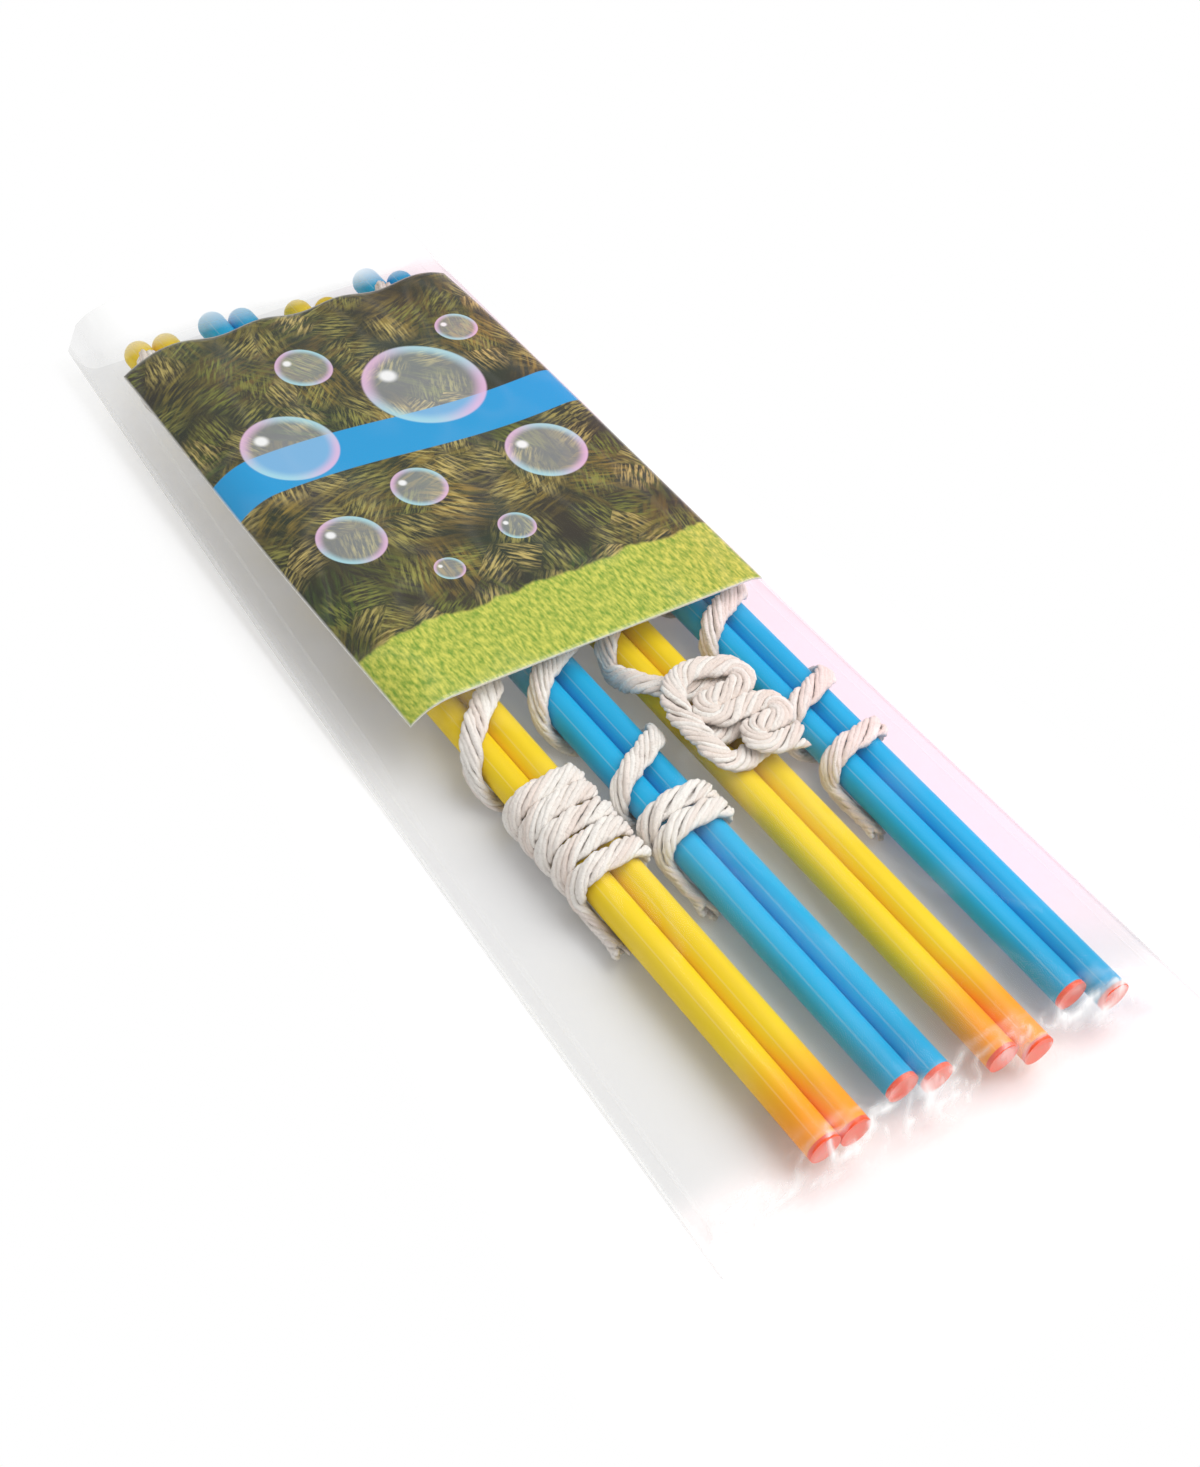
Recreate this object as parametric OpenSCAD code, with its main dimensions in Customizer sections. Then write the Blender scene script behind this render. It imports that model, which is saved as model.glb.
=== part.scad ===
// Flat pack of four rope bubble wands: pairs of capped sticks wound with cotton rope,
// under a printed card, in a clear film bag that is open at the tip end.
// X runs across the wands, Y runs along them from handle to tip, Z is up.
// The origin is at the middle of the bag's underside.

/* [Sticks] */
// Outside diameter of a stick's tube
tube_d = 8; // [6:0.1:11]
// Wall of a stick's tube
tube_wall = 0.8; // [0.5:0.05:1.2]
// Length of a stick from its handle flange to its tip
stick_len = 304; // [296:1:360]
// Gap between the two sticks of a wand
pair_gap = 0.3; // [0.2:0.05:1]

/* [Plugs] */
// Thickness of a handle plug's flange
flange_t = 1.2; // [0.6:0.1:3]
// Length of a handle plug's stem inside the tube
handle_stem = 26; // [10:1:40]
// Length of a tip plug's stem inside the tube
tip_stem = 10; // [5:1:20]
// Length of the lead-in taper on a plug's stem
stem_lead = 1; // [0.5:0.1:2]
// Clearance round a plug's stem in the tube's bore
plug_clearance = 0.05; // [0.02:0.01:0.15]

/* [Rope] */
// Width of the rope where it lies flattened on the sticks
rope_w = 5.6; // [4:0.1:6]
// Thickness of the rope where it lies flattened on the sticks
rope_t = 3.4; // [2.5:0.1:4]
// Clearance between the rope and the sticks
rope_clearance = 0.3; // [0.2:0.05:0.6]
// Advance of one turn in a tight winding
tight_pitch = 6.4; // [6.2:0.1:8]
// How far short of the tips the ropes end
rope_end_gap = 11; // [8:0.5:30]
// Advance of a strand that runs nearly along the sticks
run_pitch = 60; // [45:1:64]
// Gap between the two layers of a knot
knot_gap = 0.5; // [0.45:0.05:1]
// Distance from the handle ends to the first rope's tail
rope_1_start = 65; // [60:1:72]
// Distance from the handle ends to the second rope's tail
rope_2_start = 65; // [60:1:72]
// Distance from the handle ends to the third rope's knot
knot_start = 90; // [80:1:95]
// Distance from the handle ends to the fourth rope's tail
rope_4_start = 65; // [60:1:72]
// Length of a tail, which lies along the sticks before the winding
tail_len = 17; // [14:0.5:20]

/* [Card] */
// Width of the card before it is bent
card_w = 105; // [95:1:110]
// Length of the card
card_len = 148; // [120:1:160]
// Thickness of the card
card_t = 0.4; // [0.3:0.05:0.8]
// Distance from the sticks' handle ends to the card's near edge
card_start = 138; // [136:1:145]
// Inner radius of the bends at the card's two long sides
card_bend_r = 16; // [10:1:25]
// Angle of the bend at the card's left side
card_left_bend = 45; // [20:1:50]
// Angle of the bend at the card's right side
card_right_bend = 20; // [10:1:40]
// How far the card's left edge stands out past the first wand
card_overhang = 7; // [5:0.5:10]

/* [Bag] */
// Thickness of the bag's film
film_t = 0.3; // [0.2:0.05:0.5]
// Margin between the pack and the bag's left edge at the folded end
left_margin = 18.4; // [12:0.1:30]
// Margin between the pack and the bag's left edge at the mouth, where the bag is fuller
left_mouth_margin = 5; // [4.5:0.1:20]
// Margin between the pack and the bag's right edge at the folded end
right_margin = 17.5; // [12:0.1:30]
// Margin between the pack and the bag's right edge at the mouth
right_mouth_margin = 12; // [4.5:0.1:20]
// Margin between the handle ends and the bag's folded end
near_margin = 10; // [9:0.5:20]
// Margin between the tips and the bag's mouth
far_margin = 12; // [8:0.5:25]
// How far the end film leans over the margin
end_lean = 4; // [2:0.5:5]
// How far the front film stands out past the card and the wands
film_ease = 2; // [1:0.1:4]
// How far the front film comes down beside the outer wands
film_shoulder = 4.5; // [3:0.1:5]
// Length over which the front film climbs onto the ropes
film_ramp = 12; // [6:1:20]
// Gap between pieces that slide past each other
slide_gap = 0.3; // [0.25:0.05:0.8]
// Gap between the ropes of neighbouring wands
wand_gap = 1.1; // [1:0.1:3]

/* [Hidden] */
wand_count = 4;
// Sideways place of each wand off an even spacing, as a share of the gap between wands
wand_shift_shares = [0, -0.36, -0.7, 0];
// How far each wand's two sticks are pushed towards the tip end, as a share of the tube's diameter
stick_push_shares = [[0, 0], [0.44, 0.2], [-0.2, -0.5], [0.44, -0.2]];

bore_d = tube_d - 2 * tube_wall;
stem_d = bore_d - 2 * plug_clearance;
tube_len = stick_len - flange_t - tube_d / 2;
pair_half = (tube_d + pair_gap) / 2;
overrun = tube_wall;

// Heights, from the surface that the pack lies on
rope_room = rope_clearance + rope_t;
stick_z = film_t + slide_gap + rope_room + tube_d / 2;
lay_r = tube_d / 2 + rope_clearance + rope_t / 2;
knot_lift = rope_t + knot_gap;
knot_top = stick_z + lay_r + knot_lift + rope_t / 2;
card_z = knot_top + slide_gap;
film_top = card_z + card_t + slide_gap + film_t;
film_over_sticks = stick_z + tube_d / 2 + slide_gap + film_t;
film_over_ropes = stick_z + lay_r + rope_t / 2 + slide_gap + film_t;

// The card's section: a flat middle with a bend down each long side
card_turn_r = card_bend_r + card_t / 2;
card_flat = card_w - (card_left_bend + card_right_bend) * PI / 180 * card_turn_r;
card_left_reach = (card_bend_r + card_t) * sin(card_left_bend);
card_right_reach = (card_bend_r + card_t) * sin(card_right_bend);
card_left_drop = (card_bend_r + card_t) * (1 - cos(card_left_bend));
card_right_drop = (card_bend_r + card_t) * (1 - cos(card_right_bend));
card_plan_w = card_left_reach + card_flat + card_right_reach;

// Places across the bag
wand_w = 2 * pair_half + tube_d + 2 * rope_room;
wand_pitch = wand_w + wand_gap;
wands_w = wand_count * wand_w + (wand_count - 1) * wand_gap;
pack_w = max(card_overhang + wands_w, card_plan_w);
bag_w = left_margin + pack_w + right_margin;
pack_left = left_margin - bag_w / 2;
pack_right = pack_left + pack_w;
wands_left = pack_left + card_overhang;
wands_right = wands_left + wands_w;
function wand_x(i) = wands_left + wand_w / 2 + i * wand_pitch + wand_shift_shares[i] * wand_gap;

// Places along the bag
bag_len = near_margin + stick_len + far_margin;
stick_start = near_margin - bag_len / 2;
stick_end = stick_start + stick_len;
ropes_y = stick_start + min(rope_1_start, rope_2_start, knot_start, rope_4_start) - rope_w / 2;
knot_y = max(stick_start + knot_start - rope_w, ropes_y + rope_t);
card_y = stick_start + card_start;

card_flat_left = pack_left + card_left_reach;
card_flat_right = card_flat_left + card_flat;

// Sections of a rope: its sides, the sections of one turn over the flats and round the sticks,
// and those between two points of a tail's or the knot's route
rope_sides = 6;
flat_rings = 2;
arc_rings = 6;
rings_per_turn = 2 * (flat_rings + arc_rings);
rings_per_gap = 2;

// How each rope winds: the turn it starts at (0 is on top, 0.25 on the right, 0.5 below), how far from
// the handle ends it starts, how many turns it makes, and its advance per turn at some of those turns.
// The third winding starts where the knot's route ends, and the others where their tails end.
winding_starts = [0.74, 0.74, 0.75, 0.74];
knot_reach = 8.4;
winding_places = [rope_1_start + tail_len, rope_2_start + tail_len, knot_start + knot_reach * rope_w,
    rope_4_start + tail_len];
winding_turns = [11.1875, 9.0625, 5.9, 8.1875];
function winding_pitches(i, loose) =
    let (stride = (loose + run_pitch) / 2)
    [
        [[0, tight_pitch], [4.34, tight_pitch], [4.84, loose], [5.14, run_pitch], [5.64, loose],
            [10.94, loose], [11.19, run_pitch]],
        [[0, tight_pitch], [1.36, tight_pitch], [2.16, loose], [2.96, stride], [3.56, loose],
            [8.81, loose], [9.06, run_pitch]],
        [[0, run_pitch], [0.3, loose], [5.65, loose], [5.9, run_pitch]],
        [[0, 2 * tight_pitch], [0.86, 3 * tight_pitch], [1.36, loose], [1.96, stride], [2.56, loose],
            [7.94, loose], [8.19, run_pitch]],
    ][i];

// Route of a tail from its cut end to its winding: the turn that it lies at, and the share of its length
tail_route = [[0.64, 0], [0.645, 0.32], [0.66, 0.62], [0.688, 0.86]];

// Route of the third rope's knot from its cut end: across from the wand's middle and along from the
// knot's start, both in rope widths, and up in layers, where layer 1 lies on the sticks and layer 2 on
// layer 1. The winding goes on at the knot's reach.
knot_route = [
    [2.179, 0.161, 2], [1.536, 0.196, 2], [1.071, 0.223, 2], [0.679, 0.232, 2], [0.263, 0.405, 2],
    [0.089, 0.821, 2], [0.263, 1.238, 2], [0.679, 1.411, 2], [1.179, 1.411, 2], [1.679, 1.411, 2],
    [2.095, 1.584, 2], [2.268, 2, 2], [2.095, 2.416, 2], [1.679, 2.589, 2], [1.036, 2.589, 2],
    [0.411, 2.589, 2], [-0.214, 2.589, 2], [-0.63, 2.763, 2], [-0.804, 3.179, 2], [-0.63, 3.595, 2],
    [-0.214, 3.768, 2], [0.357, 3.768, 2], [0.911, 3.768, 2], [1.464, 3.768, 2], [1.88, 3.941, 2],
    [2.054, 4.357, 2], [1.88, 4.773, 2], [1.429, 4.982, 2], [0.714, 5.25, 2], [-0.107, 5.339, 2],
    [-0.893, 5.107, 2], [-1.536, 4.571, 2], [-1.875, 3.786, 2], [-1.929, 2.893, 2], [-1.875, 2.071, 1.98],
    [-1.786, 1.429, 1.82], [-1.571, 0.929, 1.46], [-1.089, 0.625, 1.14], [-0.464, 0.643, 1],
    [0.179, 0.821, 1], [0.714, 0.929, 1], [1.214, 0.964, 1], [1.643, 1.143, 1], [1.821, 1.571, 1],
    [1.643, 2, 1], [1.214, 2.179, 1], [0.536, 2.188, 1], [-0.125, 2.188, 1], [-0.786, 2.188, 1],
    [-1.221, 2.368, 1], [-1.402, 2.804, 1], [-1.221, 3.239, 1], [-0.786, 3.42, 1], [-0.089, 3.429, 1],
    [0.589, 3.429, 1], [1.25, 3.429, 1], [1.679, 3.607, 1], [1.857, 4.036, 1], [1.679, 4.464, 1],
    [1.25, 4.643, 1], [0.571, 4.732, 1], [-0.179, 4.946, 1], [-0.911, 5.464, 1], [-1.518, 6.25, 0.783],
    [-1.768, 7.321, 0.267],
];

$fn = 64;

// A point on the loop that the rope follows round the two sticks, from the top over the right side
function loop_point(turn) =
    let (
        s = (turn - floor(turn)) * rings_per_turn,
        half = flat_rings / 2,
        right_end = half + arc_rings,
        left_start = right_end + flat_rings,
        right_angle = (s - half) * 180 / arc_rings,
        left_angle = (s - left_start) * 180 / arc_rings
    )
    s < half ? [pair_half * s / half, lay_r]
    : s < right_end ? [pair_half + lay_r * sin(right_angle), lay_r * cos(right_angle)]
    : s < left_start ? [pair_half * (right_end + half - s) / half, -lay_r]
    : s < left_start + arc_rings ? [-pair_half - lay_r * sin(left_angle), -lay_r * cos(left_angle)]
    : [pair_half * (s - rings_per_turn) / half, lay_r];

// Running sum of a winding's advance, ring by ring, for a given advance of its loose turns
function advances(i, loose) =
    let (
        rings = round(winding_turns[i] * rings_per_turn),
        pitches = winding_pitches(i, loose)
    )
    [for (k = 0, y = 0; k <= rings;
        y = y + lookup((k + 0.5) / rings_per_turn, pitches) / rings_per_turn, k = k + 1) y];
function advance(i, loose) = let (ys = advances(i, loose)) ys[len(ys) - 1];

// The loose turns take up the length that is left, so that each rope ends at the tips
function loose_pitch(i) =
    let (room = stick_len - rope_end_gap - winding_places[i], fixed = advance(i, 0))
    (room - fixed) / (advance(i, 1) - fixed);

function winding(i) =
    let (ys = advances(i, loose_pitch(i)))
    [for (k = [0:len(ys) - 1])
        let (p = loop_point(winding_starts[i] + k / rings_per_turn))
            [p[0], winding_places[i] + ys[k], p[1]]];

// A smooth curve through the points of a route, which runs on into the points after it
function curve_point(p, q, r, s, f) =
    q + f / 2 * ((r - p) + f * ((2 * p - 5 * q + 4 * r - s) + f * (3 * (q - r) + s - p)));
function smooth(route, next) =
    let (pts = concat([2 * route[0] - route[1]], route, next))
    [for (k = [1:len(route)], j = [0:rings_per_gap - 1])
        curve_point(pts[k - 1], pts[k], pts[k + 1], pts[k + 2], j / rings_per_gap)];

function knot_point(p) =
    [p[0] * rope_w, knot_start + p[1] * rope_w, min(p[2], 1) * lay_r + max(p[2] - 1, 0) * knot_lift];
knot_points = [for (p = knot_route) knot_point(p)];

function tail_point(i, p) =
    let (q = loop_point(p[0])) [q[0], winding_places[i] + (p[1] - 1) * tail_len, q[1]];

function rope_path(i) =
    let (turns = winding(i), lead = i == 2 ? knot_points : [for (p = tail_route) tail_point(i, p)])
    concat(smooth(lead, [turns[0], turns[2]]), turns);

// The rope's flat side faces the sticks: which way is out, at a point of its path
function clamp(v, limit) = max(-limit, min(limit, v));
function lying(i, p) = i == 2 && p[1] < winding_places[i] ? max(0, min(1, p[2] / lay_r)) : 0;
function outward(i, p) =
    let (reach = pair_half + lying(i, p) * lay_r, v = [p[0] - clamp(p[0], reach), 0, p[2]])
    v / norm(v);
function along(path, k) =
    let (v = path[min(k + 1, len(path) - 1)] - path[max(k - 1, 0)]) v / norm(v);
function side_of(i, path, k) =
    let (v = cross(along(path, k), outward(i, path[k]))) v / norm(v);

function ring(i, path, k) =
    let (b = side_of(i, path, k), n = cross(b, along(path, k)))
    [for (j = [0:rope_sides - 1]) let (a = 360 * j / rope_sides)
        path[k] + b * rope_w / 2 * cos(a) + n * rope_t / 2 * sin(a) / sin(360 / rope_sides)];

// Least gap of a rope to itself, from the centres and the half sizes of its sections along the line
// between them, leaving out sections less than half a turn apart
function half_size(b, n, v) = norm([rope_w / 2 * (b * v), rope_t / 2 * (n * v)]);
function least_gap(i) =
    let (
        path = rope_path(i),
        sides = [for (k = [0:len(path) - 1]) side_of(i, path, k)],
        outs = [for (k = [0:len(path) - 1]) cross(sides[k], along(path, k))],
        apart = rings_per_turn / 2
    )
    min([for (k = [0:len(path) - 1 - apart], m = [k + apart:len(path) - 1])
        let (d = path[m] - path[k], far = norm(d), v = d / far)
        far - half_size(sides[k], outs[k], v) - half_size(sides[m], outs[m], v)]);

union() {
    for (i = [0:wand_count - 1]) {
        echo(str("rope ", i + 1, " least gap to itself, mm: "), least_gap(i));
    }
}

function stick_colour(i) = i % 2 == 0 ? "gold" : "deepskyblue";
function stick_x(i, side) = wand_x(i) + side * pair_half;
function stick_y(i, side) = stick_start + stick_push_shares[i][side < 0 ? 0 : 1] * tube_d;

// Along a stick, from its handle flange
module at_stick(i, side) {
    translate([stick_x(i, side), stick_y(i, side), stick_z])
        rotate([-90, 0, 0])
            children();
}

module tube(i, side) {
    color(stick_colour(i))
        at_stick(i, side)
            translate([0, 0, flange_t])
                difference() {
                    cylinder(d = tube_d, h = tube_len);
                    translate([0, 0, -overrun])
                        cylinder(d = bore_d, h = tube_len + 2 * overrun);
                }
}

// A stem that fills the tube's bore, with a lead-in at its inner end
module stem(length) {
    cylinder(d = stem_d, h = length - stem_lead);
    translate([0, 0, length - stem_lead])
        cylinder(d1 = stem_d, d2 = stem_d - stem_lead, h = stem_lead);
}

module handle_plug(i, side) {
    color("orangered")
        at_stick(i, side) {
            cylinder(d = tube_d, h = flange_t);
            translate([0, 0, flange_t])
                stem(handle_stem);
        }
}

module tip_plug(i, side) {
    color(stick_colour(i))
        at_stick(i, side)
            translate([0, 0, flange_t + tube_len]) {
                rotate_extrude()
                    intersection() {
                        circle(d = tube_d);
                        square(tube_d / 2);
                    }
                mirror([0, 0, 1])
                    stem(tip_stem);
            }
}

module rope(i) {
    path = rope_path(i);
    last = len(path) - 1;
    n = rope_sides;
    points = [for (k = [0:last]) each ring(i, path, k)];
    walls = [for (k = [0:last - 1], j = [0:n - 1])
        let (a = k * n + j, b = k * n + (j + 1) % n) each [[a, b, a + n], [b, b + n, a + n]]];
    start_cap = [for (j = [1:n - 2]) [0, j + 1, j]];
    end_cap = [for (j = [1:n - 2]) [last * n, last * n + j, last * n + j + 1]];
    color("linen")
        translate([wand_x(i), stick_start, stick_z])
            polyhedron(points = points, faces = concat(start_cap, walls, end_cap));
}

// One bend of the card's section, from its flat middle outwards to the right
module card_bend(angle) {
    r = card_bend_r + card_t;
    translate([0, -card_bend_r])
        intersection() {
            difference() {
                circle(r = r);
                circle(r = card_bend_r);
            }
            polygon([[0, 0], [0, r], [r * tan(angle / 2), r], 2 * r * [sin(angle), cos(angle)]]);
        }
}

module insert_card() {
    color("olivedrab")
        translate([0, card_y + card_len, card_z])
            rotate([90, 0, 0])
                linear_extrude(card_len) {
                    translate([card_flat_left, 0])
                        square([card_flat, card_t]);
                    translate([card_flat_right, 0])
                        card_bend(card_right_bend);
                    translate([card_flat_left, 0])
                        mirror([1, 0])
                            card_bend(card_left_bend);
                }
}

// The film over the pack is a grid of points. Its columns, from the left edge to the right one: edge,
// shoulder and top of the left side, foot and top of the strip over the knot's way, top and foot of that
// strip, top, shoulder and edge of the right side. Its rows, from the folded end: foot, handle ends,
// before the ropes, on the ropes, on the knot, before the card, on the card, mouth.
film_rows_y = [-bag_len / 2, end_lean - bag_len / 2, ropes_y - film_ramp, ropes_y, knot_y,
    card_y - film_ease - 2.5 * film_ramp, card_y - film_ease, bag_len / 2];
ropes_row = 3;
knot_row = 4;
card_row = 6;
mouth_row = 7;

// The bag narrows towards its mouth
function edge_x(side, y) =
    let (f = y / bag_len + 0.5)
    side < 0 ? pack_left - left_margin + f * (left_margin - left_mouth_margin)
    : pack_right + right_margin - f * (right_margin - right_mouth_margin);

knot_xs = [for (p = knot_points) p[0]];
strip_left = wand_x(2) + min(knot_xs) - rope_w / 2 - rope_clearance;
strip_right = wand_x(2) + max(knot_xs) + rope_w / 2 + rope_clearance;
strip_run = wand_w / 2 - pair_half;
side_inset = rope_room + tube_d / 6;
function film_x(c, r) =
    c == 0 ? edge_x(-1, film_rows_y[r])
    : c == 1 ? (r < card_row ? wands_left : pack_left) - film_ease
    : c == 2 ? (r < card_row ? wands_left + side_inset : card_flat_left - card_left_reach / 4)
    : c == 3 ? strip_left - strip_run
    : c == 4 ? strip_left
    : c == 5 ? strip_right
    : c == 6 ? strip_right + strip_run
    : c == 7 ? (r < card_row ? wands_right - side_inset : card_flat_right + card_right_reach / 4)
    : c == 8 ? (r < card_row ? wands_right : pack_right) + film_ease
    : edge_x(1, film_rows_y[r]);

function film_level(r) = r < ropes_row ? film_over_sticks : r < card_row ? film_over_ropes : film_top;
function shoulder_drop(c, r) =
    r < card_row ? film_shoulder : 0.6 * (c == 1 ? card_left_drop : card_right_drop);
function film_z(c, r) =
    r == 0 || c == 0 || c == 9 ? film_t
    : c == 1 || c == 8 ? film_level(r) - shoulder_drop(c, r)
    : (c == 4 || c == 5) && r >= knot_row ? film_top
    : film_level(r);

function film_outside(c, r) = [film_x(c, r), film_rows_y[r], film_z(c, r)];

// The inner skin: feet move in along the back film, by more where the film leans more
function foot_in(run, rise) = film_t * (1 + run / rise);
function film_inside(c, r) =
    let (
        beside = c == 0 ? 1 : 8,
        row = max(r, 1),
        run = abs(film_x(beside, row) - film_x(c, row)),
        rise = film_z(beside, row) - film_t,
        end_rise = film_z(min(max(c, 1), 8), 1) - film_t
    )
    [
        c == 0 ? film_x(c, r) + foot_in(run, rise)
        : c == 9 ? film_x(c, r) - foot_in(run, rise)
        : film_x(c, r) + (c < 3 ? film_t : c > 6 ? -film_t : 0),
        film_rows_y[r] + (r == 0 ? foot_in(end_lean, end_rise) : r == 1 ? film_t : 0),
        r == 0 || c == 0 || c == 9 ? film_t : film_z(c, r) - film_t
    ];

// A patch of the film, from its first to its last column and row
module film_patch(c0, c1, r0, r1) {
    w = c1 - c0 + 1;
    n = w * (r1 - r0 + 1);
    function at(c, r) = (r - r0) * w + c - c0;
    skin = [for (r = [r0:r1 - 1], c = [c0:c1 - 1])
        each [[at(c, r), at(c, r + 1), at(c + 1, r + 1)], [at(c, r), at(c + 1, r + 1), at(c + 1, r)]]];
    rim = concat(
        [for (r = [r0:r1 - 1]) at(c0, r)], [for (c = [c0:c1 - 1]) at(c, r1)],
        [for (r = [r1:-1:r0 + 1]) at(c1, r)], [for (c = [c1:-1:c0 + 1]) at(c, r0)]
    );
    color("lightcyan", 0.4)
        polyhedron(
            points = concat(
                [for (r = [r0:r1], c = [c0:c1]) film_outside(c, r)],
                [for (r = [r0:r1], c = [c0:c1]) film_inside(c, r)]
            ),
            faces = concat(
                skin,
                [for (t = skin) [t[2] + n, t[1] + n, t[0] + n]],
                [for (k = [0:len(rim) - 1])
                    let (a = rim[k], b = rim[(k + 1) % len(rim)]) each [[a, a + n, b], [b, a + n, b + n]]]
            )
        );
}

module bag_back_film() {
    near = -bag_len / 2;
    far = bag_len / 2;
    color("lightcyan", 0.4)
        linear_extrude(film_t)
            polygon([
                [edge_x(-1, near), near], [edge_x(1, near), near],
                [edge_x(1, far), far], [edge_x(-1, far), far]
            ]);
}

module bag_front_film() film_patch(2, 7, 1, mouth_row);
module bag_left_film() film_patch(0, 2, 1, mouth_row);
module bag_right_film() film_patch(7, 9, 1, mouth_row);
module bag_end_film() film_patch(0, 9, 0, 1);

for (i = [0:wand_count - 1]) {
    wand = str("wand", i + 1, "_");
    tube(i, -1);
    tube(i, 1);
    handle_plug(i, -1);
    handle_plug(i, 1);
    tip_plug(i, -1);
    tip_plug(i, 1);
    rope(i);
}
insert_card();
bag_back_film();
bag_front_film();
bag_left_film();
bag_right_film();
bag_end_film();
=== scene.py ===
import math
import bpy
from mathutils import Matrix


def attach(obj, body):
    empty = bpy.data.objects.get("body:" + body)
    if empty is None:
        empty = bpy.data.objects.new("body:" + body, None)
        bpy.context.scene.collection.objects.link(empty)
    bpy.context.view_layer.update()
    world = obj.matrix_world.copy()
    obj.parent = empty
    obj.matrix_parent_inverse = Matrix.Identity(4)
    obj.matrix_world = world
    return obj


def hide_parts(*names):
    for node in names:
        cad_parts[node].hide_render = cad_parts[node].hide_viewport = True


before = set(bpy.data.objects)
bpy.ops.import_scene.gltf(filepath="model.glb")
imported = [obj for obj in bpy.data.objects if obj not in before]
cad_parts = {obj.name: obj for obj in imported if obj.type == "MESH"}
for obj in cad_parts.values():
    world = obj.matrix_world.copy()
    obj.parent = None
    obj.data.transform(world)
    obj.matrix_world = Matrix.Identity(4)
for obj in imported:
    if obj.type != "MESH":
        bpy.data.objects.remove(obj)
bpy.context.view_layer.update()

from types import SimpleNamespace

import bpy
import numpy as np
from mathutils import Matrix

MM = 0.001
rng = np.random.default_rng(7)

# Sizes that the dressing shares with the part's source, in metres
TUBE_R = 4 * MM
PAIR_HALF = 4.15 * MM
LAY_R = 6 * MM
KNOT_LIFT = 3.9 * MM
ROPE_W = 5.6 * MM
STICK_LEN = 304 * MM
STICK_START = -153 * MM
STICK_Z = 8.3 * MM
ROPE_END_GAP = 11 * MM
WAND_X = [-33.25 * MM, -8.854 * MM, 15.58 * MM, 41.15 * MM]
STICK_PUSH = [[0, 0], [3.52 * MM, 1.6 * MM], [-1.6 * MM, -4 * MM], [3.52 * MM, -1.6 * MM]]
CARD_W = 105 * MM
CARD_LEN = 148 * MM
CARD_START = -15 * MM
CARD_LEFT = -52.1 * MM
CARD_Z = 20.2 * MM
CARD_T = 0.4 * MM
BAG_LEN = 326 * MM

# Photograph's camera: its place, its axes to the right, down and forward, and its lens
CAMERA_PLACE = (-0.27684, -0.32547, 0.39953)
CAMERA_RIGHT = (0.80980, -0.57337, 0.12436)
CAMERA_DOWN = (-0.33699, -0.62808, -0.70139)
CAMERA_FORWARD = (0.48027, 0.52608, -0.70184)
CAMERA_LENS = 57.43
CAMERA_SENSOR = 36
CAMERA_CLIP = (0.01, 10)


def add_camera():
    data = bpy.data.cameras.new("camera")
    data.lens = CAMERA_LENS
    data.sensor_width = CAMERA_SENSOR
    data.clip_start, data.clip_end = CAMERA_CLIP
    camera = bpy.data.objects.new("camera", data)
    axes = Matrix((CAMERA_RIGHT, [-v for v in CAMERA_DOWN], [-v for v in CAMERA_FORWARD])).transposed()
    camera.matrix_world = Matrix.Translation(CAMERA_PLACE) @ axes.to_4x4()
    bpy.context.scene.collection.objects.link(camera)
    bpy.context.scene.camera = camera


# Meshes

def add_mesh(name, points, faces, smooth=True):
    mesh = bpy.data.meshes.new(name)
    mesh.from_pydata(np.asarray(points).tolist(), [], [[int(v) for v in face] for face in faces])
    mesh.update()
    mesh.polygons.foreach_set("use_smooth", [smooth] * len(mesh.polygons))
    obj = bpy.data.objects.new(name, mesh)
    bpy.context.scene.collection.objects.link(obj)
    return obj


def grid_faces(rows, columns):
    index = np.arange(rows * columns).reshape(rows, columns)
    corners = (index[:-1, :-1], index[:-1, 1:], index[1:, 1:], index[1:, :-1])
    return np.stack([c.ravel() for c in corners], axis=1)


def set_float(obj, name, values):
    attribute = obj.data.attributes.new(name, "FLOAT", "POINT")
    attribute.data.foreach_set("value", np.asarray(values, np.float32).ravel())


def set_uv(obj, across, along):
    layer = obj.data.uv_layers.new(name="UVMap")
    corner = np.zeros(len(obj.data.loops), np.int32)
    obj.data.loops.foreach_get("vertex_index", corner)
    uv = np.stack([across.ravel()[corner], along.ravel()[corner]], axis=1)
    layer.data.foreach_set("uv", uv.astype(np.float32).ravel())


# Ropes: the route of each rope is the one in the part's source, about its wand's middle

RINGS_PER_TURN = 16
FLAT_RINGS = 2
ARC_RINGS = 6
RINGS_PER_GAP = 2
TIGHT = 6.4 * MM
RUN = 60 * MM
KNOT_START = 90 * MM
KNOT_REACH = 8.4
ROPE_START = 65 * MM
TAIL_LEN = 17 * MM
WOUND_FROM = ROPE_START + TAIL_LEN
KNOTTED_WAND = 2
WINDING_STARTS = [0.74, 0.74, 0.75, 0.74]
WINDING_PLACES = [WOUND_FROM, WOUND_FROM, KNOT_START + KNOT_REACH * ROPE_W, WOUND_FROM]
WINDING_TURNS = [11.1875, 9.0625, 5.9, 8.1875]
# The turn that a tail lies at, and the share of its length
TAIL_ROUTE = [[0.64, 0], [0.645, 0.32], [0.66, 0.62], [0.688, 0.86]]
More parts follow.
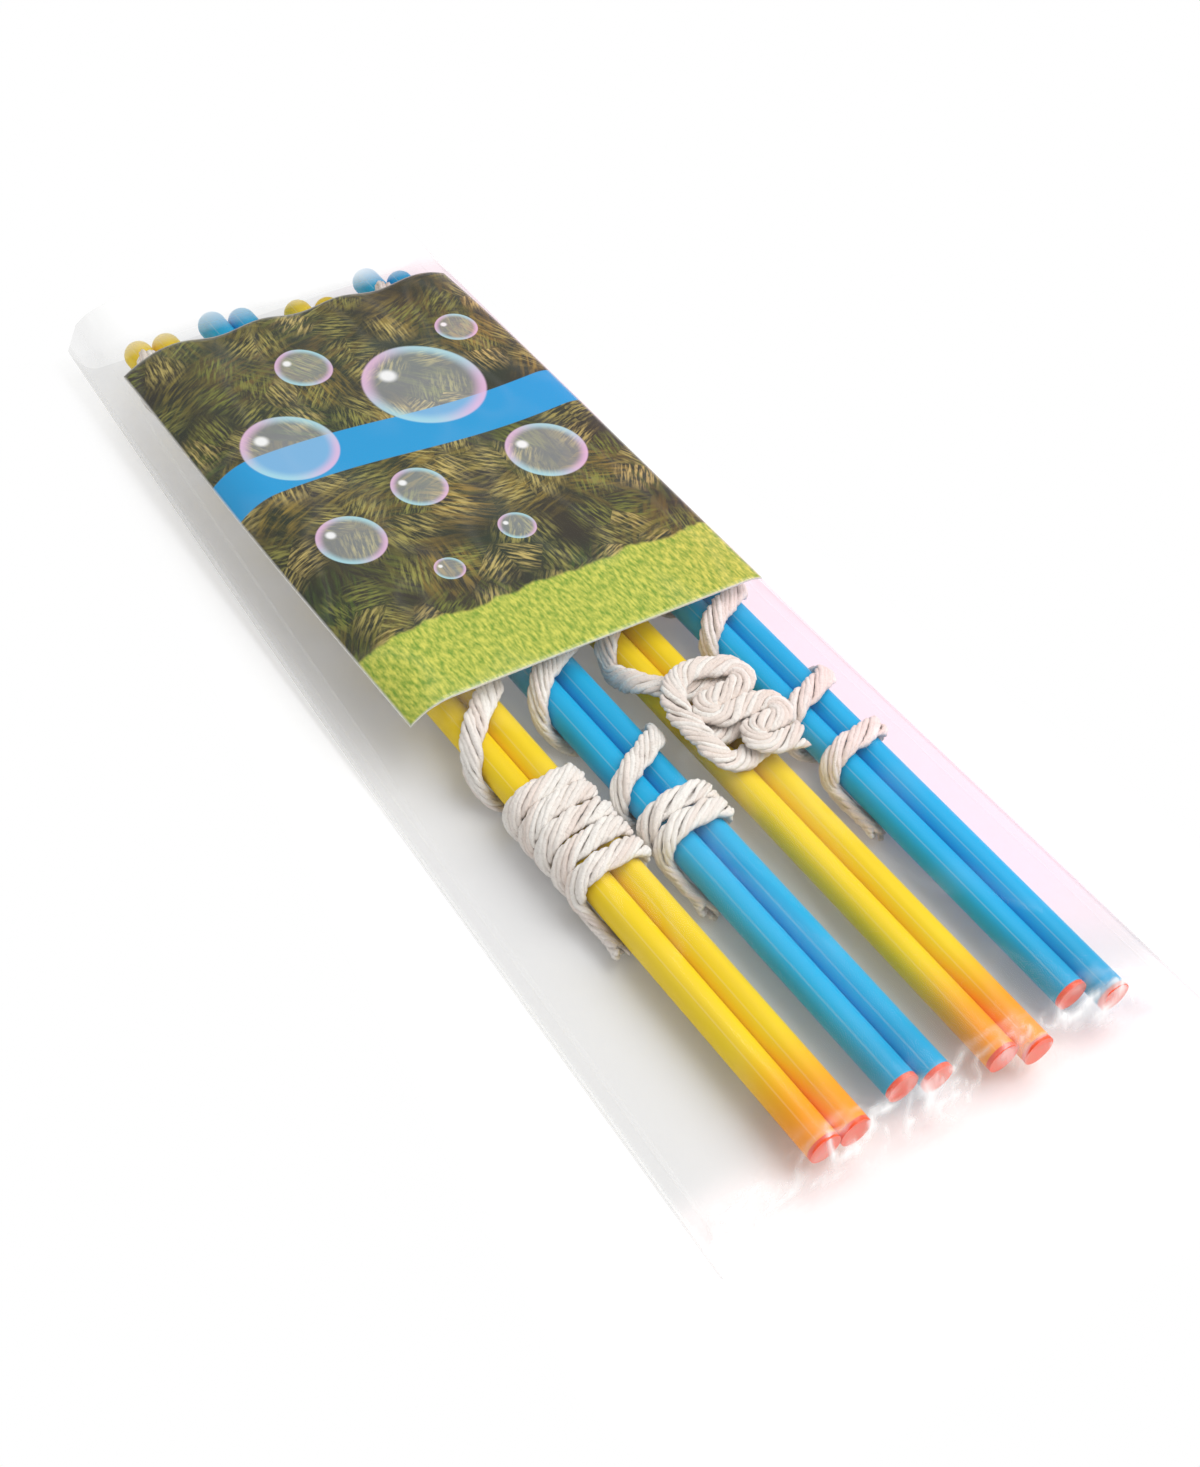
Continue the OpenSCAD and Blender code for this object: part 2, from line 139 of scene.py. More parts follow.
# Across and along in rope widths, and up in layers
KNOT_ROUTE = [
    [2.179, 0.161, 2], [1.536, 0.196, 2], [1.071, 0.223, 2], [0.679, 0.232, 2], [0.263, 0.405, 2],
    [0.089, 0.821, 2], [0.263, 1.238, 2], [0.679, 1.411, 2], [1.179, 1.411, 2], [1.679, 1.411, 2],
    [2.095, 1.584, 2], [2.268, 2, 2], [2.095, 2.416, 2], [1.679, 2.589, 2], [1.036, 2.589, 2],
    [0.411, 2.589, 2], [-0.214, 2.589, 2], [-0.63, 2.763, 2], [-0.804, 3.179, 2], [-0.63, 3.595, 2],
    [-0.214, 3.768, 2], [0.357, 3.768, 2], [0.911, 3.768, 2], [1.464, 3.768, 2], [1.88, 3.941, 2],
    [2.054, 4.357, 2], [1.88, 4.773, 2], [1.429, 4.982, 2], [0.714, 5.25, 2], [-0.107, 5.339, 2],
    [-0.893, 5.107, 2], [-1.536, 4.571, 2], [-1.875, 3.786, 2], [-1.929, 2.893, 2], [-1.875, 2.071, 1.98],
    [-1.786, 1.429, 1.82], [-1.571, 0.929, 1.46], [-1.089, 0.625, 1.14], [-0.464, 0.643, 1],
    [0.179, 0.821, 1], [0.714, 0.929, 1], [1.214, 0.964, 1], [1.643, 1.143, 1], [1.821, 1.571, 1],
    [1.643, 2, 1], [1.214, 2.179, 1], [0.536, 2.188, 1], [-0.125, 2.188, 1], [-0.786, 2.188, 1],
    [-1.221, 2.368, 1], [-1.402, 2.804, 1], [-1.221, 3.239, 1], [-0.786, 3.42, 1], [-0.089, 3.429, 1],
    [0.589, 3.429, 1], [1.25, 3.429, 1], [1.679, 3.607, 1], [1.857, 4.036, 1], [1.679, 4.464, 1],
    [1.25, 4.643, 1], [0.571, 4.732, 1], [-0.179, 4.946, 1], [-0.911, 5.464, 1], [-1.518, 6.25, 0.783],
    [-1.768, 7.321, 0.267],
]


def winding_pitches(i, loose):
    """Pairs of a turn and the pitch there, along a rope's winding."""
    stride = (loose + RUN) / 2
    return [
        [(0, TIGHT), (4.34, TIGHT), (4.84, loose), (5.14, RUN), (5.64, loose), (10.94, loose), (11.19, RUN)],
        [(0, TIGHT), (1.36, TIGHT), (2.16, loose), (2.96, stride), (3.56, loose), (8.81, loose), (9.06, RUN)],
        [(0, RUN), (0.3, loose), (5.65, loose), (5.9, RUN)],
        [(0, 2 * TIGHT), (0.86, 3 * TIGHT), (1.36, loose), (1.96, stride), (2.56, loose), (7.94, loose),
         (8.19, RUN)],
    ][i]


def advances(i, loose):
    """How far a winding has come along the sticks, at each of its rings."""
    turns, pitches = np.array(winding_pitches(i, loose)).T
    rings = round(WINDING_TURNS[i] * RINGS_PER_TURN)
    steps = np.interp((np.arange(rings) + 0.5) / RINGS_PER_TURN, turns, pitches) / RINGS_PER_TURN
    return np.concatenate([[0], np.cumsum(steps)])


def loose_pitch(i):
    """The pitch of the loose turns that takes a winding to the rope's end."""
    fixed = advances(i, 0)[-1]
    room = STICK_LEN - ROPE_END_GAP - WINDING_PLACES[i]
    return (room - fixed) / (advances(i, 1)[-1] - fixed)


def loop_point(turn):
    """Across and up on the loop round both sticks, which starts on top and goes to the right."""
    s = (turn - math.floor(turn)) * RINGS_PER_TURN
    half = FLAT_RINGS / 2
    right_end = half + ARC_RINGS
    left_start = right_end + FLAT_RINGS
    if s < half:
        return PAIR_HALF * s / half, LAY_R
    if s < right_end:
        angle = (s - half) * math.pi / ARC_RINGS
        return PAIR_HALF + LAY_R * math.sin(angle), LAY_R * math.cos(angle)
    if s < left_start:
        return PAIR_HALF * (right_end + half - s) / half, -LAY_R
    if s < left_start + ARC_RINGS:
        angle = (s - left_start) * math.pi / ARC_RINGS
        return -PAIR_HALF - LAY_R * math.sin(angle), -LAY_R * math.cos(angle)
    return PAIR_HALF * (s - RINGS_PER_TURN) / half, LAY_R


def winding(i):
    points = []
    for k, y in enumerate(advances(i, loose_pitch(i))):
        x, z = loop_point(WINDING_STARTS[i] + k / RINGS_PER_TURN)
        points.append((x, WINDING_PLACES[i] + y, z))
    return np.array(points)


def curve_through(points, steps):
    """A smooth curve through points, with that many steps in each gap."""
    p = np.vstack([2 * points[0] - points[1], points, 2 * points[-1] - points[-2]])
    f = (np.arange(steps) / steps)[None, :, None]
    a, b, c, d = (p[k:len(p) - 3 + k, None, :] for k in range(4))
    curve = b + f / 2 * ((c - a) + f * ((2 * a - 5 * b + 4 * c - d) + f * (3 * (b - c) + d - a)))
    return np.vstack([curve.reshape(-1, 3), points[-1]])


def knot_lead():
    route = np.array(KNOT_ROUTE)
    height = np.minimum(route[:, 2], 1) * LAY_R + np.maximum(route[:, 2] - 1, 0) * KNOT_LIFT
    return np.stack([route[:, 0] * ROPE_W, KNOT_START + route[:, 1] * ROPE_W, height], axis=1)


def tail_lead(i):
    points = []
    for turn, share in TAIL_ROUTE:
        x, z = loop_point(turn)
        points.append((x, WINDING_PLACES[i] + (share - 1) * TAIL_LEN, z))
    return np.array(points)


def rope_route(i):
    turns = winding(i)
    lead = knot_lead() if i == KNOTTED_WAND else tail_lead(i)
    curve = curve_through(np.vstack([lead, turns[0], turns[2]]), RINGS_PER_GAP)
    return np.vstack([curve[:RINGS_PER_GAP * len(lead)], turns])


def evenly(points, step):
    """The points of a line at even steps along it."""
    at = np.concatenate([[0], np.cumsum(np.linalg.norm(np.diff(points, axis=0), axis=1))])
    want = np.linspace(0, at[-1], max(2, round(at[-1] / step)) + 1)
    return np.stack([np.interp(want, at, points[:, k]) for k in range(3)], axis=1), want


def unit(v):
    return v / np.maximum(np.linalg.norm(v, axis=-1, keepdims=True), 1e-12)


def soften(values, reach):
    """A running mean along the first axis."""
    kernel = np.ones(2 * reach + 1) / (2 * reach + 1)
    padded = np.pad(values, ((reach, reach), (0, 0)), mode="edge")
    return np.stack([np.convolve(padded[:, k], kernel, mode="valid") for k in range(values.shape[1])], axis=1)


def outward(i, path):
    """Away from the sticks, at each point of a path."""
    lying = np.zeros(len(path))
    if i == KNOTTED_WAND:
        lying = np.where(path[:, 1] < WINDING_PLACES[i], np.clip(path[:, 2] / LAY_R, 0, 1), 0)
    reach = PAIR_HALF + lying * LAY_R
    across = path[:, 0] - np.clip(path[:, 0], -reach, reach)
    return unit(np.stack([across, np.zeros(len(path)), path[:, 2]], axis=1))


# The rope's section as drawn: its half width and half thickness, and the yarns that lie round it
SECTION_A = 3.3 * MM
KNOT_SECTION_A = 3.55 * MM
SECTION_B = 1.85 * MM
STRANDS = 3
STRAND_YARNS = 3
STRAND_SHARE = 0.86
STRAND_DIP = 0.22 * MM
YARNS = STRANDS * STRAND_YARNS
YARN_R = 0.74 * MM
YARN_SIDES = 7
ELLIPSE_STEPS = 720
YARN_RING = 2 * math.pi * np.arange(YARN_SIDES) / YARN_SIDES
TWIST_LENGTH = 21 * MM
KNOT_TWIST_LENGTH = 16 * MM
# How far the knot's upper layer sinks into the lower one, and the length over which the knot's section begins
KNOT_SAG = 0.35 * MM
KNOT_FADE = 20 * MM
# Steps along the rope, and how many of them each running mean reaches to either side
CURVE_STEPS = 6
ROPE_STEP = 1 * MM
PATH_MEAN = 1
OUT_MEAN = 2
SLACK_MEAN = 3
# The cut end: how much it swells and over what length, and how many steps its yarns may be short
FRAY_SHARE = 0.3
FRAY_LENGTH = 6 * MM
FRAY_STEPS = 3
# Random waves, as the length of one and its size: of the rope, and of a yarn's turn, side, dip and radius
SLACK = (14 * MM, 0.5 * MM)
TURN_WAVE = (9 * MM, 0.022)
SIDE_WAVE = (5 * MM, 0.12 * MM)
DIP_WAVE = (5 * MM, 0.07 * MM)
THICK_WAVE = (4 * MM, 0.1)
FUZZ = 0.075 * MM
# Below this height on its own round section, a yarn is drawn darker: painted shade where the yarns meet in
# creases
CREASE_SHADE_LEVEL = 0.45


def even_angles():
    """Angles round the yarns' ellipse by share of its length."""
    angle = np.linspace(0, 2 * math.pi, ELLIPSE_STEPS + 1)
    x = (SECTION_A - YARN_R) * np.cos(angle)
    y = (SECTION_B - YARN_R) * np.sin(angle)
    length = np.concatenate([[0], np.cumsum(np.hypot(np.diff(x), np.diff(y)))])
    return length / length[-1], angle


def wobble(at, wave, size):
    """Smooth random offsets along a length."""
    knots = np.arange(0, at[-1] + 2 * wave, wave)
    return np.interp(at, knots, rng.normal(0, size, len(knots)))


def rope_lay(i):
    """A rope's middle line at even steps, with its sides, its outward way, its width and its twist."""
    path, at = evenly(curve_through(rope_route(i), CURVE_STEPS), ROPE_STEP)
    path = soften(path, PATH_MEAN)
    path[:, 1] += soften(wobble(at, *SLACK)[:, None], SLACK_MEAN)[:, 0]
    path[:, 2] -= KNOT_SAG * np.clip((path[:, 2] - LAY_R) / KNOT_LIFT, 0, 1)
    ahead = unit(np.gradient(path, axis=0))
    side = unit(np.cross(ahead, unit(soften(outward(i, path), OUT_MEAN))))
    knotted = np.zeros(len(path))
    if i == KNOTTED_WAND:
        knotted = np.clip((WINDING_PLACES[i] - path[:, 1]) / KNOT_FADE, 0, 1)
    twist_rate = (1 - knotted) / TWIST_LENGTH + knotted / KNOT_TWIST_LENGTH
    return SimpleNamespace(
        at=at,
        path=path,
        side=side,
        out=np.cross(side, ahead),
        ease=1 + FRAY_SHARE * np.clip(1 - at / FRAY_LENGTH, 0, 1) ** 2,
        half_width=SECTION_A + (KNOT_SECTION_A - SECTION_A) * knotted,
        twist=np.cumsum(twist_rate * np.gradient(at)),
    )


def yarn(k, lay):
    """Rings of one yarn. Strands part a little, and a strand's outer yarns lie lower than its middle one."""
    share, angle = even_angles()
    strand, place = divmod(k, STRAND_YARNS)
    off_middle = place - (STRAND_YARNS - 1) / 2
    lot = (strand + STRAND_SHARE * off_middle / STRAND_YARNS) / STRANDS
    turn = lot + lay.twist + wobble(lay.at, *TURN_WAVE)
    a = np.interp(turn % 1, share, angle)
    inset = YARN_R + STRAND_DIP * abs(off_middle)
    dip = np.abs(wobble(lay.at, *DIP_WAVE)) * np.sign(np.sin(a))
    across = (lay.half_width - inset) * np.cos(a) * lay.ease + wobble(lay.at, *SIDE_WAVE)
    up = (SECTION_B - inset) * np.sin(a) * lay.ease - dip
    line = lay.path + lay.side * across[:, None] + lay.out * up[:, None]
    ahead = unit(np.gradient(line, axis=0))
    right = unit(np.cross(ahead, lay.out))
    top = np.cross(right, ahead)
    radius = YARN_R * (1 + wobble(lay.at, *THICK_WAVE))
    rim = right[:, None, :] * np.cos(YARN_RING)[:, None] + top[:, None, :] * np.sin(YARN_RING)[:, None]
    points = line[:, None, :] + radius[:, None, None] * rim
    return points + rng.normal(0, FUZZ, points.shape)


def yarn_faces(rings, first):
    """Faces of a closed yarn whose points start at that index."""
    index = first + np.arange(rings * YARN_SIDES).reshape(rings, YARN_SIDES)
    beside = np.roll(index, -1, axis=1)
    quads = np.stack([index[:-1], index[1:], beside[1:], beside[:-1]], axis=-1).reshape(-1, 4)
    return quads.tolist() + [index[0].tolist(), index[-1, ::-1].tolist()]


def add_rope(i, material):
    lay = rope_lay(i)
    # painted shade: each yarn's sides and underside, where it meets its neighbours, are marked to be drawn
    # darker
    yarn_crease_shade = np.clip(CREASE_SHADE_LEVEL - np.sin(YARN_RING), 0, 1)
    points, faces, shades, yarn_crease_shades, along, around = [], [], [], [], [], []
    first = 0
    for k in range(YARNS):
        short = int(rng.integers(0, FRAY_STEPS))
        rings = yarn(k, lay)[short:]
        count = len(rings) * YARN_SIDES
        faces.extend(yarn_faces(len(rings), first))
        first += count
        points.append(rings.reshape(-1, 3))
        shades.append(np.full(count, rng.uniform(0, 1)))
        yarn_crease_shades.append(np.tile(yarn_crease_shade, len(rings)))
        along.append(np.repeat(lay.at[short:], YARN_SIDES))
        around.append(np.tile(np.arange(YARN_SIDES) / YARN_SIDES + k, len(rings)))
    place = np.array([WAND_X[i], STICK_START, STICK_Z])
    rope = add_mesh(f"rope_{i + 1}", np.vstack(points) + place, faces)
    set_float(rope, "shade", np.concatenate(shades))
    set_float(rope, "yarn_crease_shade", np.concatenate(yarn_crease_shades))
    set_uv(rope, np.concatenate(around), np.concatenate(along))
    rope.data.materials.append(material)
    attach(rope, f"wand{i + 1}")
    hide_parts(f"wand{i + 1}_rope")
    world = lay.path + place
    return world


# Node materials

class Nodes:
    """Short calls for building one material's node tree."""

    def __init__(self, name):
        self.material = bpy.data.materials.new(name)
        self.material.use_nodes = True
        self.tree = self.material.node_tree
        self.tree.nodes.clear()
        self.output = self.tree.nodes.new("ShaderNodeOutputMaterial")

    def add(self, kind, **values):
        node = self.tree.nodes.new(kind)
        for key, value in values.items():
            setattr(node, key, value)
        return node

    def join(self, source, target):
        self.tree.links.new(source, target)

    def set(self, socket, value):
        if isinstance(value, bpy.types.NodeSocket):
            self.join(value, socket)
        else:
            socket.default_value = value

    def math(self, operation, a, b=0.0, c=0.0, clamp=False):
        node = self.add("ShaderNodeMath", operation=operation, use_clamp=clamp)
        for socket, value in zip(node.inputs, (a, b, c)):
            self.set(socket, value)
        return node.outputs[0]

    def length(self, x, y):
        return self.math("SQRT", self.math("ADD", self.math("MULTIPLY", x, x), self.math("MULTIPLY", y, y)))

    def ramp(self, value, low, high, start=0.0, end=1.0):
        node = self.add("ShaderNodeMapRange", interpolation_type="SMOOTHSTEP")
        limits = {"Value": value, "From Min": low, "From Max": high, "To Min": start, "To Max": end}
        for name, v in limits.items():
            self.set(node.inputs[name], v)
        return node.outputs["Result"]

    def mix(self, share, a, b):
        """A mix of two colours, whose sockets are 6 and 7 of the node and whose result is 2."""
        node = self.add("ShaderNodeMix", data_type="RGBA")
        self.set(node.inputs[0], share)
        self.set(node.inputs[6], a)
        self.set(node.inputs[7], b)
        return node.outputs[2]

    def noise(self, vector, scale, detail=2.0, roughness=0.5):
        node = self.add("ShaderNodeTexNoise")
        self.join(vector, node.inputs["Vector"])
        node.inputs["Scale"].default_value = scale
        node.inputs["Detail"].default_value = detail
        node.inputs["Roughness"].default_value = roughness
        return node.outputs[0]

    def scaled(self, vector, scale):
        node = self.add("ShaderNodeMapping")
        self.join(vector, node.inputs["Vector"])
        node.inputs["Scale"].default_value = scale
        return node.outputs[0]

    def shifted(self, vector, by):
        node = self.add("ShaderNodeMapping")
        self.join(vector, node.inputs["Vector"])
        node.inputs["Location"].default_value = by
        return node.outputs[0]

    def parts(self, vector):
        node = self.add("ShaderNodeSeparateXYZ")
        self.join(vector, node.inputs[0])
        return node.outputs

    def coordinates(self, name):
        return self.add("ShaderNodeTexCoord").outputs[name]

    def value(self, name):
        return self.add("ShaderNodeAttribute", attribute_name=name).outputs["Fac"]

    def bump(self, height, distance, strength):
        node = self.add("ShaderNodeBump")
        node.inputs["Distance"].default_value = distance
        node.inputs["Strength"].default_value = strength
        self.join(height, node.inputs["Height"])
        return node.outputs[0]

    def surface(self, colour, roughness, bump=None, **more):
        node = self.add("ShaderNodeBsdfPrincipled")
        self.set(node.inputs["Base Color"], colour)
        node.inputs["Roughness"].default_value = roughness
        for key, value in more.items():
            node.inputs[key.replace("_", " ")].default_value = value
        if bump is not None:
            self.join(bump, node.inputs["Normal"])
        return node.outputs[0]

    def blend(self, share, a, b):
        node = self.add("ShaderNodeMixShader")
        self.set(node.inputs[0], share)
        self.join(a, node.inputs[1])
        self.join(b, node.inputs[2])
        return node.outputs[0]

    def finish(self, shader):
        self.join(shader, self.output.inputs["Surface"])
        return self.material


def srgb(r, g, b):
    """A colour as seen on screen, from 0 to 255, as a linear one."""
    channel = [v / 255 for v in (r, g, b)]
    return tuple(v / 12.92 if v <= 0.04045 else ((v + 0.055) / 1.055) ** 2.4 for v in channel) + (1.0,)


# Depths of the grain on plastic and paper, of the rope's fibres, and of the light inside a plug
GRAIN_DEPTH = 0.1 * MM
FIBRE_DEPTH = 0.5 * MM
PLUG_LIGHT_DEPTH = 2 * MM
# Along a stick, where the plug's colour begins to show through the tube and where it shows in full
GLOW_FROM = -122 * MM
GLOW_FULL = -150 * MM
# Round a stick, the place of the moulding line, its half width and its blur, in radians
SEAM_ANGLE = -0.62
SEAM_HALF = 0.04
SEAM_BLUR = 0.01


def tube_material(name, colour, deep, glow, glow_share):
    """Satin tube: faint streaks, a moulding line, and the plug's colour showing through at the handle end."""
    n = Nodes(name)
    place = n.parts(n.coordinates("Object"))
    normal = n.parts(n.coordinates("Normal"))
    at_handle = n.ramp(place[1], GLOW_FROM, GLOW_FULL, 0.0, glow_share)
    round_stick = n.math("ARCTAN2", normal[0], normal[2])
    off_seam = n.math("ABSOLUTE", n.math("SUBTRACT", round_stick, SEAM_ANGLE))
    seam = n.ramp(off_seam, SEAM_HALF - SEAM_BLUR, SEAM_HALF + SEAM_BLUR, 0.12, 0.0)
    streaks = n.noise(n.scaled(n.coordinates("Object"), (1, 0.06, 1)), 240.0, 3.0)
    drawn = n.mix(n.ramp(streaks, 0.4, 0.75, 0.0, 0.3), colour, deep)
    base = n.mix(at_handle, drawn, glow)
    shown = n.mix(seam, base, srgb(255, 250, 215))
    grain = n.noise(n.scaled(n.coordinates("Object"), (1, 0.05, 1)), 900.0, 2.0)
    return n.finish(n.surface(shown, 0.42, n.bump(grain, GRAIN_DEPTH, 0.08), Specular_IOR_Level=0.3))


def plug_material():
    n = Nodes("orange_plug")
    spots = n.noise(n.coordinates("Object"), 600.0, 3.0)
    colour = n.mix(n.ramp(spots, 0.35, 0.7), srgb(248, 80, 32), srgb(240, 96, 46))
    return n.finish(n.surface(colour, 0.3, n.bump(spots, GRAIN_DEPTH, 0.15), Subsurface_Weight=0.25,
                              Subsurface_Scale=PLUG_LIGHT_DEPTH))


def rope_material():
    n = Nodes("cotton_rope")
    uv = n.coordinates("UV")
    fibre = n.noise(n.scaled(uv, (2.0, 700.0, 1.0)), 3.0, 3.0, 0.6)
    patch = n.noise(n.coordinates("Object"), 220.0, 3.0)
    shade = n.value("shade")
    pale = n.mix(n.ramp(shade, 0.0, 1.0), srgb(246, 232, 222), srgb(255, 250, 243))
    dusty = n.mix(n.ramp(patch, 0.5, 0.8, 0.0, 0.35), pale, srgb(220, 202, 188))
    flecked = n.mix(n.ramp(fibre, 0.5, 0.75, 0.0, 0.4), dusty, srgb(192, 178, 170))
    # painted shade: the yarns' sides and undersides are darker, in the creases between them
    colour = n.mix(n.ramp(n.value("yarn_crease_shade"), 0.1, 0.9, 0.0, 0.5), flecked, srgb(164, 150, 142))
    return n.finish(n.surface(colour, 0.95, n.bump(fibre, FIBRE_DEPTH, 0.7), Sheen_Weight=0.4))


# Card

CARD_BEND_R = 16.2 * MM
LEFT_BEND = math.radians(45)
RIGHT_BEND = math.radians(20)
CARD_COLUMNS = 90
CARD_ROWS = 100
# Towards its far edge the card dips between the wands, and its left side leans in
CARD_WAVE = 1.6 * MM
WAVE_PITCH = 24.8 * MM
WAVE_START_SHARE = 0.55
CARD_LEAN = 3 * MM
LEAN_START_SHARE = 0.3
LEAN_LIMIT_X = 30 * MM
LEAN_W = 80 * MM


def card_section(s):
    """The card's section at lengths s across it from its left edge: places across and drops."""
    left = CARD_BEND_R * LEFT_BEND
    right = CARD_W - CARD_BEND_R * RIGHT_BEND
    a = np.clip((left - s) / CARD_BEND_R, 0, LEFT_BEND)
    b = np.clip((s - right) / CARD_BEND_R, 0, RIGHT_BEND)
    flat_left = CARD_LEFT + CARD_BEND_R * math.sin(LEFT_BEND)
    x = flat_left + np.clip(s, left, right) - left - CARD_BEND_R * np.sin(a) + CARD_BEND_R * np.sin(b)
    return x, CARD_BEND_R * (1 - np.cos(a)) + CARD_BEND_R * (1 - np.cos(b))


def card_wave(x, t):
    """How far the card dips between the wands."""
    reach = np.clip((t - WAVE_START_SHARE) / (1 - WAVE_START_SHARE), 0, 1) ** 3
    phase = 2 * math.pi * (x - WAND_X[0]) / WAVE_PITCH
    return reach * CARD_WAVE * (1 - np.cos(phase)) / 2


def card_lean(x, t):
    """How far the card leans in from the left."""
    reach = np.clip((t - LEAN_START_SHARE) / (1 - LEAN_START_SHARE), 0, 1) ** 2
    return reach * CARD_LEAN * np.clip((LEAN_LIMIT_X - x) / LEAN_W, 0, 1)


def card_faces():
    """Faces of the print, the back and the cut edge, in that order, and how many the print has."""
    quads = grid_faces(CARD_ROWS, CARD_COLUMNS)
    count = CARD_ROWS * CARD_COLUMNS
    index = np.arange(count).reshape(CARD_ROWS, CARD_COLUMNS)
    rim = np.concatenate([index[0, :], index[1:, -1], index[-1, -2::-1], index[-2:0:-1, 0]])
    beside = np.roll(rim, -1)
    walls = np.stack([rim + count, beside + count, beside, rim], axis=1)
    return np.vstack([quads, quads[:, ::-1] + count, walls]), len(quads)


def add_card(material, back):
    s, t = np.meshgrid(np.linspace(0, CARD_W, CARD_COLUMNS), np.linspace(0, 1, CARD_ROWS))
    x, drop = card_section(s)
    x = x + card_lean(x, t)
    z = CARD_Z - drop - card_wave(x, t)
    y = CARD_START + t * CARD_LEN
    lower = np.stack([x, y, z], axis=-1).reshape(-1, 3)
    upper = lower + np.array([0, 0, CARD_T])
    faces, printed = card_faces()
    card = add_mesh("printed_card", np.vstack([upper, lower]), faces)
    across = np.concatenate([(s / CARD_W).ravel()] * 2)
    set_uv(card, across, np.concatenate([t.ravel()] * 2))
    card.data.materials.append(material)
    card.data.materials.append(back)
    slots = np.zeros(len(faces), np.int32)
    slots[printed:] = 1
    card.data.polygons.foreach_set("material_index", slots)
    smooth = np.ones(len(faces), bool)
    smooth[2 * printed:] = False
    card.data.polygons.foreach_set("use_smooth", smooth)
    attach(card, "card")
    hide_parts("insert_card")


# The print, in millimetres: the lawn's edge, the blue band, and the wear at the cut edge
LAWN_EDGE = 19.0
LAWN_EDGE_ROUGH = 9.0
BAND_MIDDLE = 88.0
BAND_HALF = 7.4
BAND_BLUR = 0.2
BAND_SWING = 1.5
BAND_TURN = 0.06
WEAR_W = 0.6
# Soap bubbles on the card: across and along its face and radius, in millimetres
BUBBLES = [
    (24, 96, 13), (70, 104, 17), (46, 68, 7.5), (84, 66, 11), (20, 58, 9), (60, 44, 5), (92, 122, 6),
    (44, 124, 8), (36, 38, 4),
]
# Foliage on the card: the size of its tufts in millimetres, a shift, and the colours that they lie between
TUFTS = [
    (34.0, 3.0, (70, 74, 20), (120, 92, 30)),
    (20.0, 11.0, (58, 88, 18), (168, 136, 52)),
    (12.0, 23.0, (112, 128, 30), (224, 198, 118)),
]
# Blades in a tuft: how far apart tufts lie in the noise that draws them, and its scale across and along
TUFT_SPREAD = (40, 40, 0)
BLADE_SCALE = (2.2, 15.0, 1.0)
# A bubble's glint is this share of its radius to the left and up
GLINT_SHARE = 0.42


def card_material():
    n = Nodes("printed_card")
    uv = n.coordinates("UV")
    place = n.scaled(uv, (CARD_W / MM, CARD_LEN / MM, 1.0))
    u, v, _ = n.parts(place)
    foliage = print_foliage(n, place)
    grass = n.noise(n.scaled(place, (0.9, 0.3, 1.0)), 1.2, 5.0, 0.6)
    lawn = n.mix(n.ramp(grass, 0.3, 0.7), srgb(118, 156, 34), srgb(222, 220, 92))
    edge = n.noise(n.scaled(place, (0.07, 0.0, 1.0)), 1.0, 3.0)
    line = n.math("ADD", LAWN_EDGE, n.math("MULTIPLY", edge, LAWN_EDGE_ROUGH))
    picture = n.mix(n.ramp(n.math("SUBTRACT", v, line), -0.6, 0.8), lawn, foliage)
    swing = n.math("MULTIPLY", n.math("SINE", n.math("MULTIPLY", u, BAND_TURN)), BAND_SWING)
    middle = n.math("ADD", BAND_MIDDLE, swing)
    off_band = n.math("ABSOLUTE", n.math("SUBTRACT", v, middle))
    on_band = n.ramp(off_band, BAND_HALF - BAND_BLUR, BAND_HALF + BAND_BLUR, 1.0, 0.0)
    picture = n.mix(on_band, picture, srgb(0, 156, 218))
    for x, y, r in BUBBLES:
        picture = print_bubble(n, picture, u, v, x, y, r)
    from_side = n.math("MINIMUM", u, n.math("SUBTRACT", CARD_W / MM, u))
    from_end = n.math("MINIMUM", v, n.math("SUBTRACT", CARD_LEN / MM, v))
    worn = n.ramp(n.math("MINIMUM", from_side, from_end), 0.1, WEAR_W, 0.5, 0.0)
    picture = n.mix(worn, picture, srgb(243, 241, 236))
    return n.finish(n.surface(picture, 0.28, Coat_Weight=0.15))


def print_blades(n, place, size, shift):
    """Tufts of that size in millimetres, each with its own lean: a blade's brightness, the tuft's lot."""
    spot = n.shifted(n.scaled(place, (1 / size, 1 / size, 0.0)), (shift, shift, 0.0))
    tuft = n.add("ShaderNodeTexVoronoi", voronoi_dimensions="2D")
    tuft.inputs["Scale"].default_value = 1.0
    n.join(spot, tuft.inputs["Vector"])
    lot = n.parts(tuft.outputs["Color"])
    local = n.add("ShaderNodeVectorMath", operation="SUBTRACT")
    n.join(spot, local.inputs[0])
    n.join(tuft.outputs["Position"], local.inputs[1])
    leaning = n.add("ShaderNodeVectorRotate", rotation_type="Z_AXIS")
    n.join(local.outputs[0], leaning.inputs["Vector"])
    n.set(leaning.inputs["Angle"], n.math("MULTIPLY", lot[0], 2 * math.pi))
    own = n.add("ShaderNodeVectorMath", operation="MULTIPLY_ADD")
    n.join(tuft.outputs["Color"], own.inputs[0])
    own.inputs[1].default_value = TUFT_SPREAD
    n.join(leaning.outputs[0], own.inputs[2])
    blade = n.noise(n.scaled(own.outputs[0], BLADE_SCALE), 1.0, 4.0, 0.6)
    inner = n.ramp(tuft.outputs["Distance"], 0.75, 0.1)
    return n.math("MULTIPLY", n.ramp(blade, 0.43, 0.64), inner), lot[1]


def print_foliage(n, place):
    clump = n.noise(n.scaled(place, (0.03, 0.03, 1.0)), 1.3, 3.0)
    colour = n.mix(n.ramp(clump, 0.35, 0.65), srgb(40, 32, 12), srgb(26, 40, 12))
    for size, shift, low, high in TUFTS:
        blade, lot = print_blades(n, place, size, shift)
        colour = n.mix(n.math("MULTIPLY", blade, 0.85), colour, n.mix(lot, srgb(*low), srgb(*high)))
    return colour


